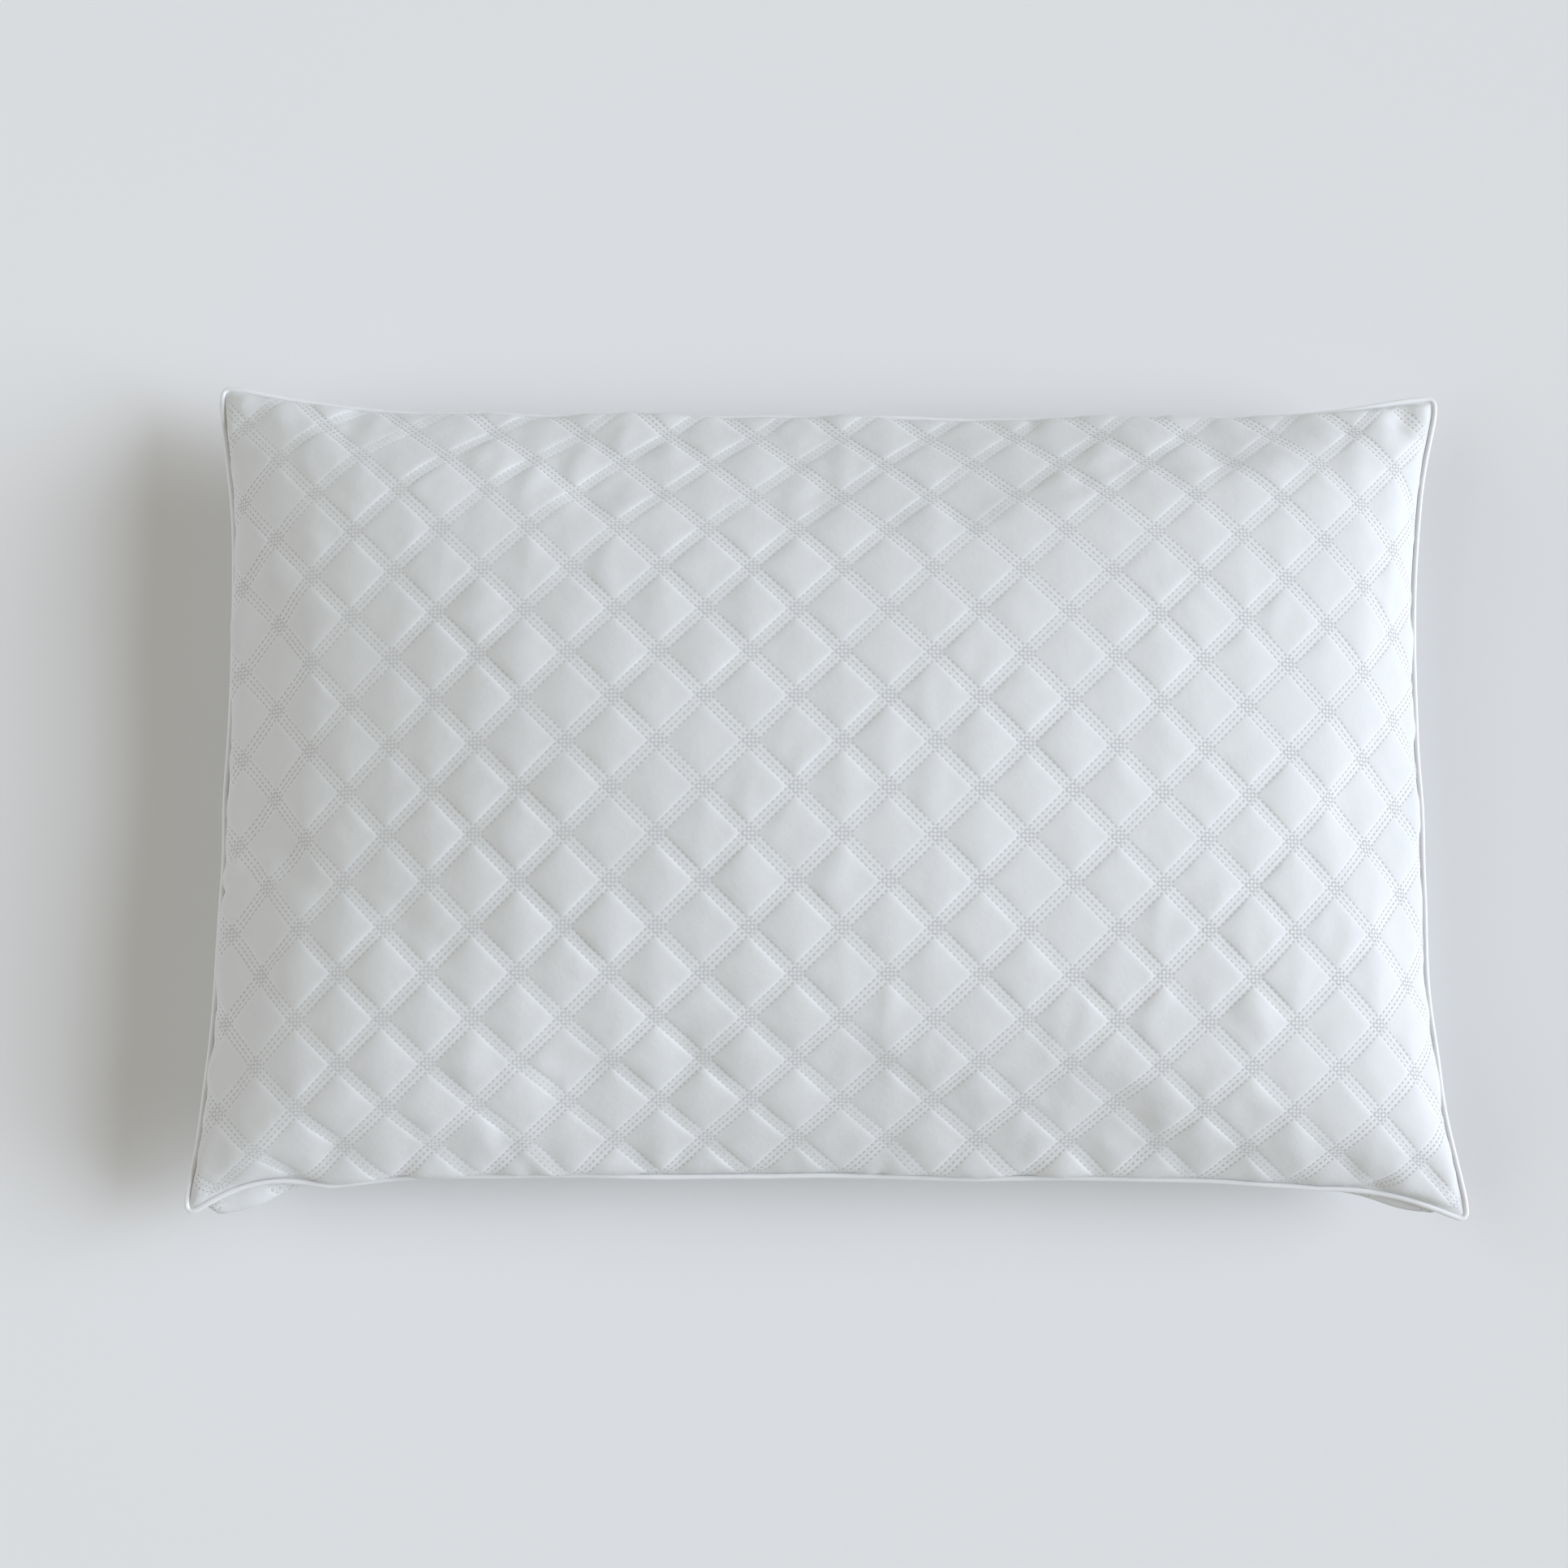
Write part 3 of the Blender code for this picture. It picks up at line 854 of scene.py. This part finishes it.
def sweep(name, rim, section, chosen=None):
    """Carries a closed section, (outwards, up), along all stations, or along a chosen run."""
    whole = chosen is None
    stations = np.arange(len(rim.line)) if whole else chosen
    rings = rim.line[stations][:, None] + section[None, :, :1] * rim.out[stations][:, None]
    rings = rings + section[None, :, 1:] * rim.up[stations][:, None]
    count, sides = rings.shape[:2]
    faces = []
    for i in range(count if whole else count - 1):
        here, there = i * sides, (i + 1) % count * sides
        for k in range(sides):
            n = (k + 1) % sides
            faces.append([here + k, there + k, there + n, here + n])
    if not whole:
        faces.append(list(range(sides)))
        faces.append([(count - 1) * sides + k for k in range(sides)][::-1])
    piece = make_mesh(name, rings.reshape(-1, 3), faces)
    piece.data.shade_smooth()
    piece.data.set_sharp_from_angle(angle=math.radians(50))
    return piece


def arc(radius, start, end, sides):
    turns = np.linspace(start, end, sides + 1)
    return np.stack([PIPING_AXIS + radius * np.cos(turns), radius * np.sin(turns)], axis=1)


def sleeve_section():
    """The bias strip folded over the cord, with both of its edges in the flange."""
    inner_radius = SLEEVE_OUTER - SLEEVE_THICK
    outer_turn = math.pi - math.asin(PLY_OUTER / SLEEVE_OUTER)
    inner_turn = math.pi - math.asin(PLY_INNER / inner_radius)
    lower = np.array([(-FLANGE_WIDTH, -PLY_OUTER), (-FLANGE_WIDTH, -PLY_INNER)])
    upper = np.array([(-FLANGE_WIDTH, PLY_INNER), (-FLANGE_WIDTH, PLY_OUTER)])
    outer = arc(SLEEVE_OUTER, outer_turn, -outer_turn, 14)
    inner = arc(inner_radius, -inner_turn, inner_turn, 8)
    return np.concatenate([outer, lower, inner, upper])


def round_section(radius, sides, out, up):
    turns = np.arange(sides) * 2 * math.pi / sides
    return np.stack([out + radius * np.cos(turns), up + radius * np.sin(turns)], axis=1)


# ------------------------ materials


class Nodes:
    """A short way to build a material's nodes."""

    def __init__(self, name):
        self.material = bpy.data.materials.new(name)
        self.material.use_nodes = True
        self.tree = self.material.node_tree
        self.shader = self.tree.nodes["Principled BSDF"]

    def add(self, kind, inputs=None, **settings):
        node = self.tree.nodes.new(kind)
        for key, value in settings.items():
            setattr(node, key, value)
        for key, value in (inputs or {}).items():
            if isinstance(value, bpy.types.NodeSocket):
                self.tree.links.new(value, node.inputs[key])
            else:
                node.inputs[key].default_value = value
        return node

    def math(self, operation, *values):
        return self.add("ShaderNodeMath", dict(enumerate(values)), operation=operation).outputs[0]

    def noise(self, place, scale, detail):
        inputs = {"Vector": place, "Scale": scale, "Detail": detail}
        return self.add("ShaderNodeTexNoise", inputs).outputs["Fac"]

    def ramp(self, value, start, end, low, high):
        """Maps start to end onto low to high."""
        inputs = {0: value, 1: start, 2: end, 3: low, 4: high}
        return self.add("ShaderNodeMapRange", inputs).outputs[0]

    def set(self, **values):
        for key, value in values.items():
            self.shader.inputs[key.replace("_", " ")].default_value = value

    def link(self, socket, name):
        self.tree.links.new(socket, self.shader.inputs[name])


def tint(nodes, factor, first, second):
    mixed = nodes.add("ShaderNodeMix", data_type="RGBA")
    mixed.inputs["A"].default_value = (*first, 1.0)
    mixed.inputs["B"].default_value = (*second, 1.0)
    nodes.tree.links.new(factor, mixed.inputs["Factor"])
    return mixed.outputs["Result"]


def stitch_grooves_and_painted_light(nodes):
    """From the cloth's own coordinates: where a quilting stitch presses into the cloth, with painted
    shade;
    painted highlights on the little rises between two stitches; and painted light on a band's flat
    cloth;
    each as a value from 0 to 1."""
    quilt = nodes.add("ShaderNodeAttribute", attribute_name="quilt").outputs["Vector"]
    place = nodes.add("ShaderNodeSeparateXYZ", {0: quilt})
    groove_dips_and_shade, knots, painted_band_light = [], [], []
    for across, along in (("X", "Y"), ("Y", "X")):
        band = nodes.math("PINGPONG", place.outputs[across], QUILT_PITCH / 2)
        outer = nodes.math("ABSOLUTE", nodes.math("SUBTRACT", band, ROW_GAP))
        row = nodes.math("MINIMUM", band, outer)
        hole = nodes.math("PINGPONG", place.outputs[along], STITCH / 2)
        beside = nodes.ramp(row, *GROOVE_SIDE, 1.0, 0.0)
        between = nodes.ramp(hole, *GROOVE_END, 0.0, 1.0)
        # Beside a stitch, away from its holes: a dip of the relief and painted shade
        groove_dips_and_shade.append(nodes.math("MULTIPLY", beside, between))
        # Beside a needle hole: painted highlights
        knots.append(nodes.math("MULTIPLY", beside, nodes.math("SUBTRACT", 1.0, between)))
        # Over a band's flat cloth: painted light, against the shade of the band's trench
        painted_band_light.append(nodes.ramp(band, *(ROW_GAP + end for end in BAND_LIGHT_END), 1.0, 0.0))
    inside = nodes.math("GREATER_THAN", place.outputs["Z"], EDGE_CLEAR)
    either = [nodes.math("MAXIMUM", *found) for found in (groove_dips_and_shade, knots, painted_band_light)]
    return [nodes.math("MULTIPLY", found, inside) for found in either]


def cotton_face():
    """Smooth, close-woven white cotton, with soft mottling, pressed in under every stitch, with
    painted shade and highlights by the stitches and painted light on the bands.
    """
    nodes = Nodes("white_cotton")
    place = nodes.add("ShaderNodeTexCoord").outputs["Object"]
    mottle = nodes.noise(place, 60.0, 4.0)
    colour = tint(nodes, mottle, (0.65, 0.66, 0.665), (0.70, 0.71, 0.71))
    groove_dips_and_shade, knots, painted_band_light = stitch_grooves_and_painted_light(nodes)
    # The colour carries painted shade in the stitches' grooves, painted highlights between stitches
    # and painted light on the bands
    shade = 1.0
    for found, lighter in ((groove_dips_and_shade, -0.35), (knots, 0.15), (painted_band_light, 0.055)):
        shade = nodes.math("MULTIPLY_ADD", found, lighter, shade)
    shaded = nodes.add("ShaderNodeMix", {"Factor": 1.0}, data_type="RGBA", blend_type="MULTIPLY")
    nodes.tree.links.new(colour, shaded.inputs["A"])
    nodes.tree.links.new(shade, shaded.inputs["B"])
    nodes.link(shaded.outputs["Result"], "Base Color")
    relief = nodes.noise(place, 1100.0, 3.0)  # the weave, and then coarser unevenness
    for scale, detail, strength in ((320.0, 3.0, 1.6), (110.0, 2.0, 4.0)):
        relief = nodes.math("MULTIPLY_ADD", nodes.noise(place, scale, detail), strength, relief)
    relief = nodes.math("MULTIPLY_ADD", groove_dips_and_shade, -1.5, relief)
    bumped = nodes.add("ShaderNodeBump", {"Height": relief, "Strength": 0.35, "Distance": 0.0002})
    nodes.link(bumped.outputs[0], "Normal")
    nodes.link(nodes.ramp(mottle, 0.0, 1.0, 0.72, 0.86), "Roughness")
    nodes.set(Specular_IOR_Level=0.3, Sheen_Weight=0.15, Sheen_Roughness=0.5)
    return nodes.material


def plain_cloth(name):
    """A fibrous cloth, wadding or thread: two near colours and a fine relief."""
    low, high, roughness, scale, depth, sheen = LOOKS[name]
    nodes = Nodes(name)
    place = nodes.add("ShaderNodeTexCoord").outputs["Object"]
    mottle = nodes.noise(place, scale / 8, 4.0)
    nodes.link(tint(nodes, mottle, low, high), "Base Color")
    fibre = nodes.noise(place, scale, 4.0)
    bumped = nodes.add("ShaderNodeBump", {"Height": fibre, "Strength": 0.5, "Distance": depth})
    nodes.link(bumped.outputs[0], "Normal")
    nodes.link(nodes.ramp(fibre, 0.0, 1.0, roughness - 0.06, roughness + 0.06), "Roughness")
    nodes.set(Specular_IOR_Level=0.35, Sheen_Weight=sheen, Sheen_Roughness=0.5)
    return nodes.material


def floor_cloth():
    nodes = Nodes("pale_floor")
    place = nodes.add("ShaderNodeTexCoord").outputs["Object"]
    mottle = nodes.noise(place, 2.5, 3.0)
    nodes.link(tint(nodes, mottle, (0.745, 0.75, 0.755), (0.77, 0.77, 0.77)), "Base Color")
    nodes.set(Roughness=0.9, Specular_IOR_Level=0.15)
    return nodes.material


# ------------------------ building the pillow


def finish_piece(piece, material, slot_name, *nodes):
    piece.data.materials.append(material)
    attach(piece, "root")
    if nodes:
        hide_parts(*nodes)
    return piece


def build_panels(panels):
    fine = [0.0015, 0.003, 0.0038, 0.0052, 0.0080, 0.0115, 0.0150]  # from a band's middle row
    coarse = [0.003, 0.009]
    fine_rims = [0.0, 0.0007, 0.0017, 0.0033, 0.0056, 0.0085]  # in from the seam
    coarse_rims = [0.0, 0.0017, 0.0045, 0.0085]
    step = 0.0017  # along the seam
    cotton = cotton_face()
    wadding_look = plain_cloth("wadding_fibre")
    backing_look = plain_cloth("backing_nonwoven")
    for panel in panels:
        name = panel.name
        fine_cut = cut_sheet(panel.side, fine, fine_rims, step)
        coarse_cut = cut_sheet(panel.side, coarse, coarse_rims, step)
        outer, inner = (0.0, 1.0, True), (-FACE_THICK, INNER_PUFF)
        face = shell(name + "_face_panel", panel, fine_cut, coarse_cut, outer, inner)
        finish_piece(face, cotton, "face_fabric", name + "_face_fabric")
        both = coarse_cut, coarse_cut
        outer, inner = (-WADDING_TOP, INNER_PUFF), (-WADDING_UNDER, BACKING_PUFF)
        wadding = shell(name + "_wadding_layer", panel, *both, outer, inner)
        finish_piece(wadding, wadding_look, "wadding", name + "_wadding")
        outer, inner = (-BACKING_TOP, BACKING_PUFF), (-BACKING_UNDER, BACKING_PUFF)
        backing = shell(name + "_backing_cloth", panel, *both, outer, inner)
        finish_piece(backing, backing_look, "backing", name + "_backing")


def build_stitches(panels):
    thread = plain_cloth("sewing_thread_look")
    for panel in panels:
        for letter, along_p in (("a", True), ("b", False)):
            piece = add_stitches(f"{panel.name}_quilting_thread_{letter}", panel, along_p)
            finish_piece(piece, thread, "sewing_thread")
    return thread


def build_fill(top, bottom):
    """The fibre fill: one closed, slightly lumpy cushion inside both backings."""
    columns, rows = CELLS_U + 1, CELLS_V + 1
    scale_u, scale_v = 1 - FILL_INSET / HALF_LENGTH, 1 - FILL_INSET / HALF_WIDTH
    a, b = (np.sin(np.linspace(-1, 1, count) * math.pi / 2) for count in (columns, rows))
    a, b = np.meshgrid(a, b)
    u, v = (a * HALF_LENGTH * scale_u).ravel(), (b * HALF_WIDTH * scale_v).ravel()
    sides = []
    for panel in (top, bottom):
        height, size = FILL_LUMPS
        lumps = height * soft_noise(u, v, size, size, 71 + panel.side)
        sides.append(panel.layer(u, v, lumps - FILL_DEPTH, 0.0))
    middle = (sides[0] + sides[1]) / 2
    shut = smoothstep(np.minimum(1 - np.abs(a), 1 - np.abs(b)).ravel(), 0.0, 0.05)[:, None]
    sides = [(middle * (1 - shut) + side * shut).reshape(rows, columns, 3) for side in sides]
    points = np.concatenate([sides[0].reshape(-1, 3), sides[1][1:-1, 1:-1].reshape(-1, 3)])
    piece = make_mesh("fill_body", points, bag_faces(*bag_ids(rows, columns)))
    piece.data.shade_smooth()
    finish_piece(piece, plain_cloth("polyester_fibre_look"), "fibre_fill", "fill_core")


def build_seam(top, thread):
    rim = Rim(top, step=0.0016)
    piping = plain_cloth("piping_cotton_look")
    sleeve = sweep("piping_strip", rim, sleeve_section())
    finish_piece(sleeve, piping, "piping_fabric", "piping_sleeve")
    cord_look = plain_cloth("cord_cotton_look")
    cord = sweep("piping_filler_cord", rim, round_section(CORD_RADIUS, 10, PIPING_AXIS, 0.0))
    finish_piece(cord, cord_look, "piping_cord", "piping_cord")
    in_gap = (rim.threads[:, 1] < -HALF_WIDTH + 1e-6) & (np.abs(rim.threads[:, 0]) < GAP_HALF)
    gap = np.nonzero(in_gap)[0]
    count = len(rim.line)
    joined = np.arange(gap[-1], gap[0] + count + 1) % count
    level = PLY_OUTER + THREAD_RADIUS + THREAD_CLEAR
    for name, chosen, inwards, node in (
        ("seam_thread_line", joined, SEAM_THREAD_IN, "perimeter_seam_thread"),
        ("closing_thread_line", gap, CLOSING_THREAD_IN, "closing_seam_thread"),
    ):
        line = sweep(name, rim, round_section(THREAD_RADIUS, 6, -inwards, level), chosen)
        finish_piece(line, thread, "sewing_thread", node)


# ------------------------ the studio


def build_floor():
    floor = make_mesh("floor", square(FLOOR_HALF), [(0, 1, 2, 3)])
    floor.data.materials.append(floor_cloth())


def build_light():
    """Soft, cool light from low on the right and more weakly from the left, in a warmer room."""
    world = bpy.data.worlds.new("studio")
    bpy.context.scene.world = world
    world.use_nodes = True
    background = world.node_tree.nodes["Background"]
    background.inputs["Color"].default_value = (*ROOM_COLOUR, 1.0)
    background.inputs["Strength"].default_value = ROOM_STRENGTH
    for name, colour, strength, rise, turn, width in WINDOWS:
        light = bpy.data.lights.new(name, "SUN")
        light.energy = strength
        light.color = colour
        light.angle = math.radians(width)
        thing = bpy.data.objects.new(name, light)
        thing.rotation_euler = (0.0, math.radians(90 - rise), math.radians(turn))
        bpy.context.scene.collection.objects.link(thing)
    bpy.context.scene.view_settings.view_transform = "Standard"


def build_camera():
    data = bpy.data.cameras.new("camera")
    data.sensor_width = SENSOR
    data.lens = LENS
    data.clip_start = 0.05
    camera = bpy.data.objects.new("camera", data)
    camera.location = CAMERA_PLACE
    camera.rotation_euler = [math.radians(angle) for angle in CAMERA_TURN]
    bpy.context.scene.collection.objects.link(camera)
    bpy.context.scene.camera = camera


def settled_panels():
    """Both panels, from the design's shape and the cloth simulation."""
    top_grid, bottom_grid = thread_grid(top_start), thread_grid(bottom_start)
    for edge in (np.s_[0], np.s_[-1], np.s_[:, 0], np.s_[:, -1]):
        bottom_grid[edge] = top_grid[edge]
    top_grid, bottom_grid = settle(top_grid, bottom_grid)
    return Panel("top", top_grid, 1).shaped(), Panel("bottom", bottom_grid, -1).shaped()


def main():
    top, bottom = settled_panels()
    build_panels((top, bottom))
    thread = build_stitches((top, bottom))
    build_fill(top, bottom)
    build_seam(top, thread)
    build_floor()
    build_light()
    build_camera()


main()
